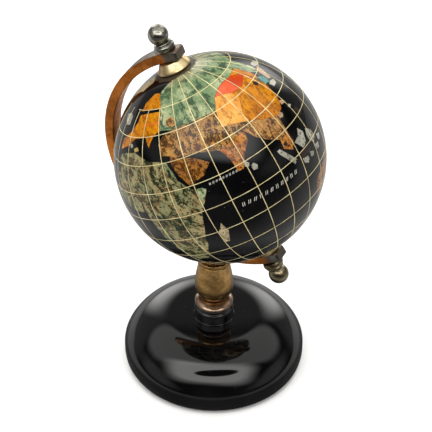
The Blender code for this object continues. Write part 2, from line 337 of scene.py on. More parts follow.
class Graph:
    """A node tree and the few calls that build it."""

    def __init__(self, tree: Tree) -> None:
        """Holds the tree."""
        self.tree = tree

    def add(self, kind: str, **settings: object) -> Node:
        """Adds a node.

        Args:
            kind: The node's type, without the "ShaderNode" in front.
            **settings: Properties of the node.

        Returns:
            The node.
        """
        node = self.tree.nodes.new(kind if kind.startswith("NodeGroup") else "ShaderNode" + kind)
        for key, value in settings.items():
            setattr(node, key, value)
        return node

    def feed(self, node: Node, *sources: object, **named: object) -> Node:
        """Links or sets a node's inputs.

        Args:
            node: The node.
            *sources: Sockets or values of the first inputs, in order.
            **named: Sockets or values by input name, with underscores for spaces; i6 is the seventh input.

        Returns:
            The same node.
        """
        for key, source in {**{f"i{k}": value for k, value in enumerate(sources)}, **named}.items():
            socket = node.inputs[int(key[1:]) if key[1:].isdigit() else key.replace("_", " ")]
            if isinstance(source, Socket):
                self.tree.links.new(source, socket)
            elif socket.type == "RGBA":
                socket.default_value = (*source[:3], 1.0)
            else:
                socket.default_value = source
        return node

    def math(self, operation: str, *values: object) -> Socket:
        """Adds a Math node and returns its result."""
        return self.feed(self.add("Math", operation=operation), *values).outputs[0]

    def more(self, value: object, mask: Socket, amount: object) -> Socket:
        """Adds some of a mask to a value."""
        return self.math("ADD", self.math("MULTIPLY", mask, amount), value)

    def vector(self, operation: str, *values: object) -> Socket:
        """Adds a Vector Math node and returns its result, a number where it measures something."""
        node = self.feed(self.add("VectorMath", operation=operation), *values)
        return node.outputs["Value" if operation in ("DOT_PRODUCT", "LENGTH") else "Vector"]

    def part(self, vector: Socket, index: int) -> Socket:
        """Takes one of a vector's three parts."""
        return self.feed(self.add("SeparateXYZ"), vector).outputs[index]

    def blend(self, factor: Socket, a: object, b: object) -> Socket:
        """Mixes two colours by a factor."""
        return self.feed(self.add("Mix", data_type="RGBA"), i0=factor, i6=a, i7=b).outputs[2]

    def tint(self, color: object, mask: Socket, amount: float, over: Triple) -> Socket:
        """Lays a colour over another by some of a mask."""
        return self.blend(self.math("MULTIPLY", mask, amount), color, over)

    def spread(self, value: Socket, low: object, high: object, first: float = 0.0, last: float = 1.0) -> Socket:
        """Maps a range smoothly onto another.

        Args:
            value: The value that is mapped.
            low: Where the range starts.
            high: Where it ends.
            first: What the start becomes.
            last: What the end becomes.

        Returns:
            The mapped value.
        """
        node = self.add("MapRange", interpolation_type="SMOOTHSTEP")
        self.feed(node, Value=value, From_Min=low, From_Max=high, To_Min=first, To_Max=last)
        return node.outputs["Result"]

    def noise(self, where: Socket, scale: object, detail: float, rough: float = 0.5, **more: object) -> Socket:
        """Adds a noise texture.

        Args:
            where: Its coordinates.
            scale: Its scale.
            detail: Its octaves.
            rough: How strong the finer octaves are.
            **more: Its seed as W, and its Distortion.

        Returns:
            The noise from 0 to 1.
        """
        node = self.add("TexNoise", noise_dimensions="4D" if "W" in more else "3D")
        self.feed(node, Vector=where, Scale=scale, Detail=detail, Roughness=rough, **more)
        return node.outputs["Fac"]

    def place(self, axis: AxisFrame | None = None) -> Socket:
        """Adds coordinates in mm.

        Args:
            axis: The frame they are measured in, or none for the whole object's.

        Returns:
            The coordinates.
        """
        in_mm = self.add("Mapping", vector_type="TEXTURE")
        self.feed(in_mm, Vector=self.add("TexCoord").outputs["Object"], Scale=(MM, MM, MM))
        if axis:
            self.feed(in_mm, Location=tuple(axis.centre), Rotation=(0, -axis.tilt, 0))
        return in_mm.outputs[0]

    def use(self, effect: Tree, **values: object) -> bpy.types.NodeOutputs:
        """Adds a shared effect with its own values and returns what it puts out."""
        return self.feed(self.add("Group", node_tree=effect), **values).outputs

    def bump(self, shader: Node, height: Socket, strength: float) -> None:
        """Bends a shader's normal by a fine height."""
        node = self.feed(self.add("Bump"), Strength=strength, Distance=GRAIN_DEPTH, Height=height)
        self.feed(shader, Normal=node.outputs[0])


def new_group(name: str, inputs: dict[str, object], outputs: str) -> tuple[Graph, bpy.types.NodeOutputs, Node]:
    """Starts a shader node group that works on a Vector.

    Args:
        name: The group's name.
        inputs: Defaults of its other inputs: a float, or a tuple for a vector.
        outputs: The names of its outputs, with spaces between them.

    Returns:
        Its graph, the sockets that come in and the node that puts out.
    """
    tree = bpy.data.node_groups.new(name, "ShaderNodeTree")
    tree.interface.new_socket(name="Vector", in_out="INPUT", socket_type="NodeSocketVector")
    for label, value in inputs.items():
        kind = "NodeSocketFloat" if isinstance(value, float) else "NodeSocketVector"
        tree.interface.new_socket(name=label, in_out="INPUT", socket_type=kind).default_value = value
    for label in outputs.split():
        tree.interface.new_socket(name=label, in_out="OUTPUT", socket_type="NodeSocketFloat")
    graph = Graph(tree)
    return graph, graph.add("NodeGroupInput").outputs, graph.add("NodeGroupOutput")


class Effects:
    """The shared effects, each one a node group that is built once."""

    def __init__(self) -> None:
        """Builds every group."""
        self.figure = self.stone_figure()
        self.pole_wear_shade = self.pole_wear()
        self.brush = self.brushed_grain()
        self.age = self.tarnish()
        self.specks = self.dust()

    @staticmethod
    def stone_figure() -> Tree:
        """The figure of a cut stone.

        Returns:
            A group that puts out broad patches, dark grain, light flecks, veins and a height.
        """
        values = {"Patch Scale": 0.12, "Grain Scale": 0.9, "Stretch": 0.5, "Cover": 0.5, "Seed": 0.0}
        g, o, end = new_group("Stone figure", values, "Patches Grain Flecks Veins Height")
        where, seed = o["Vector"], o["Seed"]
        turned = g.feed(g.add("VectorRotate", rotation_type="EULER_XYZ"), Vector=where, Rotation=(0.35, 0.45, 0.2))
        drawn = g.feed(g.add("CombineXYZ"), 1.0, 1.0, o["Stretch"])
        long_way = g.vector("MULTIPLY", turned.outputs[0], drawn.outputs[0])
        patch = g.noise(where, o["Patch Scale"], 3.0, 0.6, W=seed)
        grain = g.noise(long_way, o["Grain Scale"], 4.0, 0.7, W=seed, Distortion=0.6)
        finer, broader = g.math("MULTIPLY", o["Grain Scale"], 2.7), g.math("MULTIPLY", o["Patch Scale"], 2.2)
        fine = g.noise(where, finer, 4.0, 0.75, W=g.math("ADD", seed, 3.1))
        speckle = g.more(g.math("MULTIPLY", grain, 0.65), fine, 0.35)
        wave = g.noise(long_way, broader, 2.0, W=g.math("ADD", seed, 7.3), Distortion=1.2)
        ridge = g.math("ABSOLUTE", g.math("SUBTRACT", wave, 0.5))
        low = g.math("SUBTRACT", 0.58, g.math("MULTIPLY", o["Cover"], 0.16))
        marks = g.spread(speckle, low, g.math("ADD", low, 0.07))
        g.feed(end, g.spread(patch, 0.36, 0.64), marks, g.spread(fine, 0.56, 0.66))
        g.feed(end, Veins=g.spread(ridge, 0.0, 0.035, 1.0, 0.0), Height=speckle)
        return g.tree

    @staticmethod
    def pole_wear() -> Tree:
        """Ragged wear around the caps, with painted shade in the dark ring beside them.

        Returns:
            A group that puts out the worn ring, which is also painted shade, and the stain around it, in the axis'
            frame.
        """
        g, o, end = new_group("Pole wear", {"Reach": 8.3, "Raggedness": 6.0}, "Worn Stain")
        across = g.vector("LENGTH", g.vector("MULTIPLY", o["Vector"], (1.0, 1.0, 0.0)))
        shift = g.math("SUBTRACT", g.noise(o["Vector"], 0.55, 5.0, 0.7), 0.5)
        past = g.math("SUBTRACT", g.more(across, shift, o["Raggedness"]), o["Reach"])
        g.feed(end, g.spread(past, -0.4, 0.4, 1.0, 0.0), g.spread(past, 0.0, 6.0, 1.0, 0.0))
        return g.tree

    @staticmethod
    def brushed_grain() -> Tree:
        """Fine lines left by turning, filing or brushing.

        Returns:
            A group that puts out a height and broad streaks.
        """
        g, o, end = new_group("Brushed grain", {"Along": (1.0, 1.0, 12.0), "Scale": 1.0}, "Height Streaks")
        drawn = g.vector("MULTIPLY", o["Vector"], o["Along"])
        broad = g.noise(drawn, g.math("MULTIPLY", o["Scale"], 0.23), 2.0)
        g.feed(end, g.noise(drawn, o["Scale"], 5.0, 0.75), g.spread(broad, 0.35, 0.65))
        return g.tree

    @staticmethod
    def tarnish() -> Tree:
        """Cloudy tarnish with small stains.

        Returns:
            A group that puts out a cloud mask and a stain mask.
        """
        g, o, end = new_group("Tarnish", {"Cloud Scale": 0.18, "Stain Scale": 0.9}, "Clouds Stains")
        clouds = g.noise(o["Vector"], o["Cloud Scale"], 4.0, 0.65)
        stains = g.noise(o["Vector"], o["Stain Scale"], 6.0, 0.75)
        g.feed(end, g.spread(clouds, 0.38, 0.66), g.spread(stains, 0.55, 0.66))
        return g.tree

    @staticmethod
    def dust() -> Tree:
        """Specks of dust and faint smears on a polished surface.

        Returns:
            A group that puts out specks and smears.
        """
        g, o, end = new_group("Dust", {"Speck Scale": 0.35, "Speck Size": 0.05}, "Specks Smears")
        cells = g.feed(g.add("TexVoronoi", feature="F1"), Vector=o["Vector"], Scale=o["Speck Scale"]).outputs
        few = g.feed(g.add("TexWhiteNoise", noise_dimensions="3D"), Vector=cells["Position"]).outputs["Value"]
        small = g.math("LESS_THAN", cells["Distance"], o["Speck Size"])
        specks = g.math("MULTIPLY", small, g.math("GREATER_THAN", few, 0.7))
        g.feed(end, specks, g.spread(g.noise(o["Vector"], 0.07, 3.0), 0.4, 0.7))
        return g.tree


@dataclass(frozen=True)
class Finish:
    """What a surface is made of and how it is finished."""

    name: str
    slot: str
    roughness: float = field(default=0.13, kw_only=True)

    def start(self) -> tuple[Material, Graph, Node]:
        """Starts the material.

        Returns:
            The material, its graph and its shader.
        """
        material = bpy.data.materials.new(self.name)
        material.use_nodes = True
        return material, Graph(material.node_tree), material.node_tree.nodes["Principled BSDF"]

    def build(self, effects: Effects, axis: AxisFrame) -> Material:
        """Builds the material.

        Args:
            effects: The shared effects.
            axis: The frame that its figure, its brushing, or its wear and painted shade round the caps follows.

        Returns:
            The material.
        """
        raise NotImplementedError


@dataclass(frozen=True)
class PolishedStone(Finish):
    """A cut and polished stone with its own figure."""

    base: Triple
    light: Triple
    dark: Triple
    accent: Triple
    fleck: Triple = (0.8, 0.8, 0.8)
    patch_scale: float = 0.12
    grain_scale: float = 0.9
    stretch: float = 0.5
    cover: float = 0.5
    grain: float = 0.4
    patches: float = 0.8
    veins: float = 0.2
    flecks: float = 0.2
    seed: float = 0.0

    def build(self, effects: Effects, axis: AxisFrame) -> Material:
        """Builds the material.

        Args:
            effects: The shared effects.
            axis: The frame that the figure follows.

        Returns:
            The material.
        """
        material, g, shader = self.start()
        where = g.place(axis)
        scales = {"Patch_Scale": self.patch_scale, "Grain_Scale": self.grain_scale, "Stretch": self.stretch}
        masks = g.use(effects.figure, Vector=where, Cover=self.cover, Seed=self.seed, **scales)
        color = g.tint(self.base, masks["Patches"], self.patches, self.light)
        color = g.tint(color, masks["Flecks"], self.flecks, self.fleck)
        color = g.tint(color, masks["Grain"], self.grain, self.dark)
        color = g.tint(color, masks["Veins"], self.veins, self.accent)
        # Round the caps the stone is darkened: partly wear, partly painted shade beside the caps.
        wear_shade = g.use(effects.pole_wear_shade, Vector=where)
        color = g.tint(g.tint(color, wear_shade["Stain"], 0.5, STAINED), wear_shade["Worn"], 0.85, WORN_AND_SHADED)
        rough = g.more(g.more(self.roughness, masks["Grain"], 0.06), wear_shade["Worn"], 0.35)
        g.feed(shader, Base_Color=color, Roughness=rough, Specular_IOR_Level=0.28)
        g.bump(shader, masks["Height"], 0.15)
        return material


@dataclass(frozen=True)
class BlackPolish(Finish):
    """Black lacquer or black stone, polished, with a little dust on it."""

    base: Triple = (0.0015, 0.0015, 0.0018)
    smear: Triple = (0.0035, 0.0035, 0.0038)
    speck: Triple = (0.16, 0.16, 0.17)
    speck_scale: float = 0.5
    shine: float = 0.5
    worn_shaded_poles: bool = False

    def build(self, effects: Effects, axis: AxisFrame) -> Material:
        """Builds the material.

        Args:
            effects: The shared effects.
            axis: The frame of the wear and painted shade around the caps.

        Returns:
            The material.
        """
        material, g, shader = self.start()
        where = g.place(axis)
        dust = g.use(effects.specks, Vector=where, Speck_Scale=self.speck_scale)
        color = g.blend(dust["Specks"], g.blend(dust["Smears"], self.base, self.smear), self.speck)
        rough = g.more(self.roughness, dust["Smears"], 0.03)
        # Round the caps the polish is darkened: partly wear, partly painted shade beside the caps.
        if self.worn_shaded_poles:
            wear_shade = g.use(effects.pole_wear_shade, Vector=where)["Worn"]
            color = g.tint(color, wear_shade, 0.8, (0.05, 0.035, 0.02))
            rough = g.more(rough, wear_shade, 0.4)
        g.feed(shader, Base_Color=color, Roughness=rough, Specular_IOR_Level=self.shine)
        return material


@dataclass(frozen=True)
class AgedMetal(Finish):
    """Turned or brushed metal with tarnish."""

    base: Triple
    bright: Triple
    dark: Triple
    along: Triple = (1.0, 1.0, 12.0)
    line_scale: float = 1.0
    clouds: float = 0.55
    stains: float = 0.45
    metallic: float = 1.0
    worn_shaded_poles: bool = False
    ring: Triple | None = None
    grey_tone: Triple | None = None
    leaning: bool = True

    def build(self, effects: Effects, axis: AxisFrame) -> Material:
        """Builds the material.

        Args:
            effects: The shared effects.
            axis: The frame that the brushing follows.

        Returns:
            The material.
        """
        material, g, shader = self.start()
        where = g.place(axis if self.leaning else None)
        lines = g.use(effects.brush, Vector=where, Along=self.along, Scale=self.line_scale)
        age = g.use(effects.age, Vector=where)
        color = g.tint(self.base, lines["Streaks"], 0.5, self.bright)
        if self.grey_tone:
            color = g.blend(self.grey_faces(g, where, axis), color, self.grey_tone)
        if self.ring:
            height = g.part(where, 2)
            color = g.blend(g.spread(height, 30.3, 30.8, 1.0, 0.0), color, self.ring)
            # Painted shade: the waist above the ring and the underside of the barrel are darkened to near black,
            # standing in for the shade there and the black foot mirrored in it.
            neck = g.math("MULTIPLY", g.spread(height, 30.0, 30.6), g.spread(height, 32.2, 34.5, 1.0, 0.0))
            color = g.tint(color, neck, 0.9, (0.035, 0.012, 0.006))
        color = g.tint(g.tint(color, age["Clouds"], self.clouds, self.dark), age["Stains"], self.stains, self.dark)
        # Round the caps the wire is darkened: partly wear, partly painted shade beside the caps.
        if self.worn_shaded_poles:
            color = g.blend(g.use(effects.pole_wear_shade, Vector=where)["Worn"], color, WORN_AND_SHADED)
        rough = g.more(g.more(self.roughness, age["Clouds"], 0.18), age["Stains"], 0.15)
        g.feed(shader, Base_Color=color, Roughness=rough, Metallic=self.metallic)
        g.bump(shader, lines["Height"], 0.25)
        return material

    @staticmethod
    def grey_faces(g: Graph, where: Socket, axis: AxisFrame) -> Socket:
        """Finds where the arm is grey: its outer flat and its upper ends.

        Args:
            g: The material's graph.
            where: The coordinates in the axis' frame.
            axis: That frame.

        Returns:
            The mask.
        """
        normal = g.add("NewGeometry").outputs["Normal"]
        flat = g.spread(g.math("ABSOLUTE", g.part(normal, 1)), 0.35, 0.75, 1.0, 0.0)
        outward = g.vector("SUBTRACT", g.place(), tuple(axis.centre / MM))
        flat = g.math("MULTIPLY", flat, g.spread(g.vector("DOT_PRODUCT", outward, normal), 0.0, 20.0))
        return g.math("MAXIMUM", flat, g.spread(g.part(where, 0), -1.5, 0.5))


class Kind(Enum):
    """The finishes of the pieces."""

    LACQUER = BlackPolish("black_lacquer", "black_gloss", roughness=0.045)
    OCEAN = BlackPolish(
        "black_ocean_stone", "black_stone", roughness=0.04, speck_scale=0.45, shine=0.25, worn_shaded_poles=True
    )
    COLUMN = AgedMetal(
        "column_brass", "aged_brass", (0.47, 0.265, 0.08), (0.68, 0.45, 0.2), (0.1, 0.042, 0.012),
        (1.0, 1.0, 9.0), roughness=0.17, clouds=0.5, leaning=False, ring=(0.42, 0.3, 0.22),
    )
    ARM = AgedMetal(
        "arm_copper", "copper_bronze", (0.68, 0.215, 0.032), (0.86, 0.32, 0.065), (0.2, 0.06, 0.016),
        (2.0, 8.0, 2.0), roughness=0.28, line_scale=0.5, clouds=0.5, grey_tone=(0.2, 0.195, 0.16),
    )
    SCREW = AgedMetal(
        "screw_pewter", "pewter", (0.36, 0.35, 0.3), (0.54, 0.53, 0.47), (0.06, 0.048, 0.03),
        roughness=0.17, clouds=0.7, stains=0.65,
    )
    # The lower screw's pewter: browner, and darker as painted shade under the ball.
    BROWN_SCREW = AgedMetal(
        "screw_brown_pewter", "pewter", (0.24, 0.19, 0.115), (0.38, 0.33, 0.22), (0.05, 0.033, 0.015),
        roughness=0.22, clouds=0.7, stains=0.6,
    )
    CAP = AgedMetal(
        "cap_brass", "pale_brass", (0.72, 0.54, 0.27), (0.88, 0.74, 0.46), (0.26, 0.16, 0.06), (1.0, 1.0, 6.0),
        roughness=0.3, stains=0.55,
    )
    WIRE = AgedMetal(
        "wire_gold", "pale_brass", (0.74, 0.64, 0.31), (0.88, 0.8, 0.5), (0.3, 0.22, 0.09), (1.0, 1.0, 1.0),
        roughness=0.4, stains=0.4, metallic=0.3, worn_shaded_poles=True,
    )
    HONEY = PolishedStone(
        "honey_onyx", "honey_stone", (0.44, 0.15, 0.001), (0.56, 0.215, 0.003), (0.13, 0.028, 0.0),
        (0.3, 0.055, 0.001), (0.62, 0.28, 0.015), patch_scale=0.14, grain_scale=0.62, stretch=0.4, cover=0.62,
        grain=0.7, veins=0.35, flecks=0.5, seed=1.0,
    )
    GREEN = PolishedStone(
        "green_aventurine", "green_stone", (0.125, 0.195, 0.085), (0.4, 0.42, 0.23), (0.014, 0.042, 0.018),
        (0.035, 0.105, 0.06), (0.52, 0.52, 0.3), patch_scale=0.15, grain_scale=0.32, stretch=0.35, cover=0.55,
        grain=0.9, patches=0.9, veins=0.45, flecks=0.6, seed=2.0,
    )
    CORAL = PolishedStone(
        "red_coral", "coral_stone", (0.4, 0.034, 0.002), (0.5, 0.06, 0.003), (0.22, 0.014, 0.001),
        (0.36, 0.03, 0.002), patch_scale=0.2, grain_scale=0.5, cover=0.3, flecks=0.0, seed=3.0,
    )
    BRIGHT_CORAL = PolishedStone(
        "bright_coral", "coral_stone", (0.56, 0.078, 0.024), (0.68, 0.125, 0.05), (0.34, 0.03, 0.007),
        (0.46, 0.05, 0.012), patch_scale=0.2, grain_scale=0.5, cover=0.3, flecks=0.0, seed=3.5,
    )
    # A paler copy of the honey stone: its pale peach tone is partly painted reflection of a soft light.
    PEACH = PolishedStone(
        "peach_moonstone", "peach_stone", (0.59, 0.245, 0.037), (0.76, 0.4, 0.09), (0.24, 0.062, 0.007),
        (0.46, 0.13, 0.012), (0.82, 0.48, 0.16), grain_scale=0.6, stretch=0.35, cover=0.58, grain=0.65,
        veins=0.35, flecks=0.4, seed=4.0,
    )
    BROWN = PolishedStone(
        "picture_jasper", "brown_stone", (0.3, 0.153, 0.042), (0.47, 0.25, 0.055), (0.024, 0.009, 0.003),
        (0.17, 0.045, 0.012), (0.6, 0.4, 0.18), grain_scale=0.7, stretch=0.55, cover=0.76, grain=0.95,
        veins=0.4, flecks=0.65, seed=5.0,
    )
    FAWN = PolishedStone(
        "fawn_jasper", "brown_stone", (0.36, 0.18, 0.052), (0.48, 0.27, 0.075), (0.045, 0.018, 0.008),
        (0.17, 0.045, 0.012), (0.6, 0.4, 0.18), grain_scale=0.75, stretch=0.45, cover=0.66, grain=0.9,
        veins=0.4, flecks=0.65, seed=5.0,
    )
    RUST = PolishedStone(
        "rust_jasper", "rust_stone", (0.23, 0.096, 0.022), (0.35, 0.145, 0.016), (0.019, 0.006, 0.001),
        (0.26, 0.06, 0.004), (0.42, 0.24, 0.09), patch_scale=0.16, grain_scale=0.65, stretch=0.8, cover=0.72,
        grain=0.9, veins=0.35, flecks=0.6, seed=6.0,
    )
    SPECKLED = PolishedStone(
        "speckled_granite", "speckled_stone", (0.135, 0.165, 0.075), (0.34, 0.27, 0.13), (0.006, 0.013, 0.004),
        (0.3, 0.13, 0.035), (0.44, 0.46, 0.28), patch_scale=0.09, grain_scale=0.38, stretch=0.45, cover=0.72,
        grain=0.96, patches=0.75, veins=0.4, flecks=0.65, seed=7.0,
    )
    PALE = PolishedStone(
        "pale_onyx", "pale_stone", (0.31, 0.25, 0.145), (0.48, 0.41, 0.25), (0.08, 0.055, 0.026),
        (0.25, 0.14, 0.05), (0.56, 0.49, 0.31), patch_scale=0.2, grain_scale=0.45, grain=0.75, veins=0.35,
        flecks=0.5, seed=8.0,
    )
    TEAL = PolishedStone(
        "teal_turquoise", "teal_stone", (0.05, 0.205, 0.185), (0.12, 0.33, 0.28), (0.01, 0.06, 0.06),
        (0.012, 0.04, 0.035), (0.24, 0.48, 0.42), grain_scale=0.6, cover=0.4, grain=0.5, patches=0.7,
        veins=0.4, seed=9.0,
    )
    SHELL = PolishedStone(
        "white_shell", "pale_stone", (0.3, 0.285, 0.215), (0.5, 0.48, 0.38), (0.16, 0.145, 0.11),
        (0.25, 0.23, 0.17), roughness=0.12, cover=0.4, grain=0.5, patches=0.9, seed=12.0,
    )
    ROSE = PolishedStone(
        "rose_quartz", "pale_stone", (0.33, 0.21, 0.11), (0.44, 0.3, 0.18), (0.14, 0.08, 0.04),
        (0.15, 0.09, 0.05), roughness=0.12, cover=0.4, grain=0.55, patches=0.7, seed=13.0,
    )
    DARK = PolishedStone(
        "smoky_stone", "brown_stone", (0.014, 0.007, 0.004), (0.03, 0.014, 0.008), (0.003, 0.002, 0.001),
        (0.03, 0.013, 0.007), roughness=0.12, cover=0.4, grain=0.5, patches=0.6, flecks=0.1, seed=14.0,
    )
    GOLD = PolishedStone(
        "gold_stone", "honey_stone", (0.33, 0.231, 0.063), (0.396, 0.303, 0.113), (0.18, 0.11, 0.027),
        (0.24, 0.143, 0.045), roughness=0.12, cover=0.3, patches=0.6, seed=15.0,
    )
    CHALK = PolishedStone(
        "chalk_stone", "pale_stone", (0.225, 0.215, 0.168), (0.37, 0.355, 0.3), (0.06, 0.055, 0.04),
        (0.18, 0.15, 0.1), roughness=0.12, cover=0.45, grain=0.6, veins=0.25, flecks=0.3, seed=16.0,
    )
    AMBER = PolishedStone(
        "amber_jasper", "peach_stone", (0.32, 0.115, 0.018), (0.44, 0.19, 0.04), (0.045, 0.013, 0.002),
        (0.36, 0.05, 0.01), (0.56, 0.33, 0.12), patch_scale=0.16, grain_scale=0.7, cover=0.68, grain=0.85,
        veins=0.4, flecks=0.55, seed=17.0,
    )
    STROKE = PolishedStone(
        "pale_stroke", "pale_stone", (0.48, 0.464, 0.406), (0.56, 0.544, 0.484), (0.28, 0.264, 0.234),
        (0.4, 0.384, 0.328), roughness=0.25, grain_scale=1.5, patches=0.5, veins=0.0, flecks=0.0, seed=10.0,
    )
    RED_STROKE = PolishedStone(
        "red_stroke", "rust_stone", (0.6, 0.1, 0.01), (0.66, 0.14, 0.02), (0.4, 0.06, 0.01), (0.5, 0.08, 0.01),
        roughness=0.25, grain_scale=1.5, patches=0.5, veins=0.0, flecks=0.0, seed=11.0,
    )


class Workshop:
    """Dresses pieces: hands out each finish's material and books each piece on its body."""

    def __init__(self, axis: AxisFrame) -> None:
        """Builds the shared effects, for a globe on this axis."""
        self.axis = axis
        self.effects = Effects()
        self.made: dict[Kind, Material] = {}

    def dress(self, piece: Piece, kind: Kind, body: str, *nodes: str) -> None:
        """Gives a piece its finish, its body and the CAD nodes it stands for.

        Args:
            piece: The finished piece.
            kind: Its finish.
            body: The body it rides on.
            *nodes: The CAD nodes that it replaces.
        """
        finish = kind.value
        if kind not in self.made:
            self.made[kind] = finish.build(self.effects, self.axis)
        piece.data.materials.clear()
        piece.data.materials.append(self.made[kind])
        for polygon in piece.data.polygons:
            polygon.material_index = 0
        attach(piece, body)
        if nodes:
            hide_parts(*nodes)
        LOG.info("%s: %s on %s, %d faces", piece.name, finish.name, body, len(piece.data.polygons))


# Stand


@dataclass
class Stand:
    """Foot, column, meridian arm and the two screws; sizes in mm, angles in degrees."""

    workshop: Workshop
    base_r: float = 36.1
    base_top: float = 27.6
    plateau: float = 21.9
    crown_slope: float = 2.3
    crown_steps: int = 20
    shoulder_r: float = 21.4
    shoulder_at: float = 17.1
    shoulder_from: float = 87.5
    shoulder_to: float = 40.0
    roll_slope: float = 50.0
    roll_steps: int = 14
    foot_top: float = 7.6
    column_top: float = 53.6
    column_foot: float = 27.9
    arm_inner: float = 43.9
    arm_outer: float = 47.7
    arm_width: float = 6.8
    arm_edge: float = 0.45
    arm_offset: float = 0.4
    arm_overrun: float = 5.9
    hole_r: float = 1.8
    filed: float = 0.8
    filed_to: float = 0.84
    shank_r: float = 1.5
    shank_tip: float = 34.0
    seat: float = 48.0
    ball_r: float = 3.9
    ball_at: float = 54.3

    def make(self) -> None:
        """Builds and dresses every piece of the stand."""
        self.make_base()
        self.make_column()
        self.make_arm()
        self.make_screw("north", Kind.SCREW)
        self.make_screw("south", Kind.BROWN_SCREW)

    def make_base(self) -> None:
        """Turns the black foot: collar, barely domed top, round shoulder and upright foot."""
        top, flat, edge = self.base_top, self.plateau, self.base_r
        profile = soften(
            [(0.4, top, 0), (6.7, top, 0.3), (7.0, 26.6, 0.3), (7.5, 26.4, 0.3), (7.8, 25.9, 0.4),
             (7.8, flat, 0.4), (8.6, flat, 0)]
        )
        radius, height = profile[-1]
        step = (self.shoulder_at - radius) / self.crown_steps
        for k in range(self.crown_steps):
            radius += step
            slope = 0.2 + self.crown_slope * (k + 0.5) / self.crown_steps
            height -= step * math.tan(math.radians(slope))
            profile.append((radius, height))
        turn = math.radians(self.shoulder_from)
        centre = (radius - self.shoulder_r * math.cos(turn), height - self.shoulder_r * math.sin(turn))
        profile += arc(centre, self.shoulder_r, self.shoulder_from, self.shoulder_to, 40)[1:]
        radius, height = profile[-1]
        crest = height - (edge - radius) * math.tan(math.radians(self.roll_slope))
        bend = Vector((radius, height)), Vector((edge, crest)), Vector((edge, self.foot_top))
        profile += [tuple(bow(*bend, k / self.roll_steps)) for k in range(1, self.roll_steps + 1)]
        foot = soften(
            [(*profile[-1], 0), (edge, 4.4, 0.3), (edge - 0.3, 2.6, 0.8), (edge - 1.2, 1.1, 0.8),
             (edge - 2.6, 0.3, 0.6), (edge - 3.6, 0, 0.2), (0.4, 0, 0)]
        )
        base = lathe("base_foot", profile + foot[1:], 160)
        smooth(base)
        self.workshop.dress(base, Kind.LACQUER, "stand", "base")

    def make_column(self) -> None:
        """Turns the brass column: neck, disc, barrel, waist and flared ring."""
        profile = soften(
            [
                (0.3, self.column_top, 0), (4.6, self.column_top, 0.2), (4.6, 51.2, 0.2), (6.0, 51.1, 0.3),
                (6.27, 50.6, 0.4), (6.27, 50.0, 0.4), (5.95, 49.45, 0.2), (6.3, 49.2, 0.2), (6.5, 46.8, 9),
                (6.95, 44.4, 9), (7.4, 41.6, 9), (7.7, 38.4, 9), (7.55, 36.0, 9), (6.9, 34.2, 9), (5.9, 32.8, 9),
                (5.0, 31.8, 0.4), (4.9, 31.2, 0.3), (5.9, 30.5, 0.5), (7.2, 29.8, 0.5), (7.72, 29.2, 0.6),
                (7.6, 28.5, 0.5), (7.0, self.column_foot, 0.2), (0.3, self.column_foot, 0),
            ]
        )
        column = lathe("column_turned", profile, 96)
        smooth(column)
        self.workshop.dress(column, Kind.COLUMN, "stand", "column")

    def make_arm(self) -> None:
        """Bends the flat bar from pole to pole, files its ends and bores it for the screws."""
        middle = (self.arm_inner + self.arm_outer) / 2
        centre = (0, self.arm_offset * MM, middle * MM)
        bpy.ops.mesh.primitive_plane_add(size=MM, location=centre, rotation=(0, math.pi / 2, 0))
        bpy.ops.object.transform_apply(location=True, rotation=True, scale=True)
        arm = name_piece("meridian_arm_bent")
        with editing(arm):
            size = (1, self.arm_width, self.arm_outer - self.arm_inner)
            bpy.ops.transform.resize(value=size, center_override=centre)
            bpy.ops.mesh.bevel(offset=self.arm_edge * MM, segments=4, affect="VERTICES")
        overrun = math.radians(self.arm_overrun)
        settle(arm, Matrix.Rotation(overrun, 4, "Y"))
        with editing(arm):
            bpy.ops.mesh.spin(steps=120, angle=math.pi + 2 * overrun, center=(0, 0, 0), axis=(0, 1, 0))
        for sign in (1, -1):
            self.file_end(arm, sign)
        close(arm)
        bore(arm, self.hole_r, 8, middle)
        settle(arm, self.workshop.axis.pole("north"))
        smooth(arm)
        self.workshop.dress(arm, Kind.ARM, "stand", "meridian_arm")

    def file_end(self, arm: Piece, sign: int) -> None:
        """Runs one end of the bar on a little and draws it in.

        Args:
            arm: The bent bar in its own frame.
            sign: 1 for the north end and -1 for the south end.
        """
        with editing(arm):
            pick(arm, "faces", lambda face: len(face.verts) > 4 and face.calc_center_median().z * sign > 0)
            work = bmesh.from_edit_mesh(arm.data)
            centre = next(face for face in work.faces if face.select).calc_center_median()
            outward = Vector((0, sign, 0)).cross(centre).normalized() * self.filed * MM
            bpy.ops.mesh.extrude_region()
            bpy.ops.transform.translate(value=outward)
            bpy.ops.transform.resize(value=(self.filed_to,) * 3, center_override=centre + outward)

    def make_screw(self, pole: str, kind: Kind) -> None:
        """Turns one ringed screw with its ball.

        Args:
            pole: "north" or "south".
            kind: Its finish.
        """
        ball = arc((0, self.ball_at), self.ball_r, 88, -52, 30)
        rings = soften(
            [(*ball[-1], 0), (2.2, 51.1, 0.2), (3.35, 51.05, 0.25), (3.5, 50.6, 0.25), (3.3, 50.15, 0.15),
             (3.9, 49.85, 0.3), (4.07, 49.0, 0.4), (3.8, self.seat, 0.1), (self.shank_r, self.seat, 0.1),
             (self.shank_r, self.shank_tip + 0.8, 0.1), (0.2, self.shank_tip, 0)]
        )
        screw = lathe("screw_" + pole, ball + rings[1:], 64)
        settle(screw, self.workshop.axis.pole(pole))
        smooth(screw, 34)
        self.workshop.dress(screw, kind, "stand", "finial_" + pole)


# Globe


@dataclass(frozen=True)
class Land:
    """One inlaid stone: its finish and its outline as (longitude, latitude), anticlockwise from outside.

    A patch is let into another stone and stands a hair's breadth over it.
    """

    kind: Kind
    outline: Outline
    patch: bool = False


@dataclass(frozen=True)
class StrokeRow:
    """A row of short pale or red strokes between two places on the map; sizes are in mm."""

    kind: Kind
    start: tuple[float, float]
    end: tuple[float, float]
    count: int
    tall: float
    thick: float


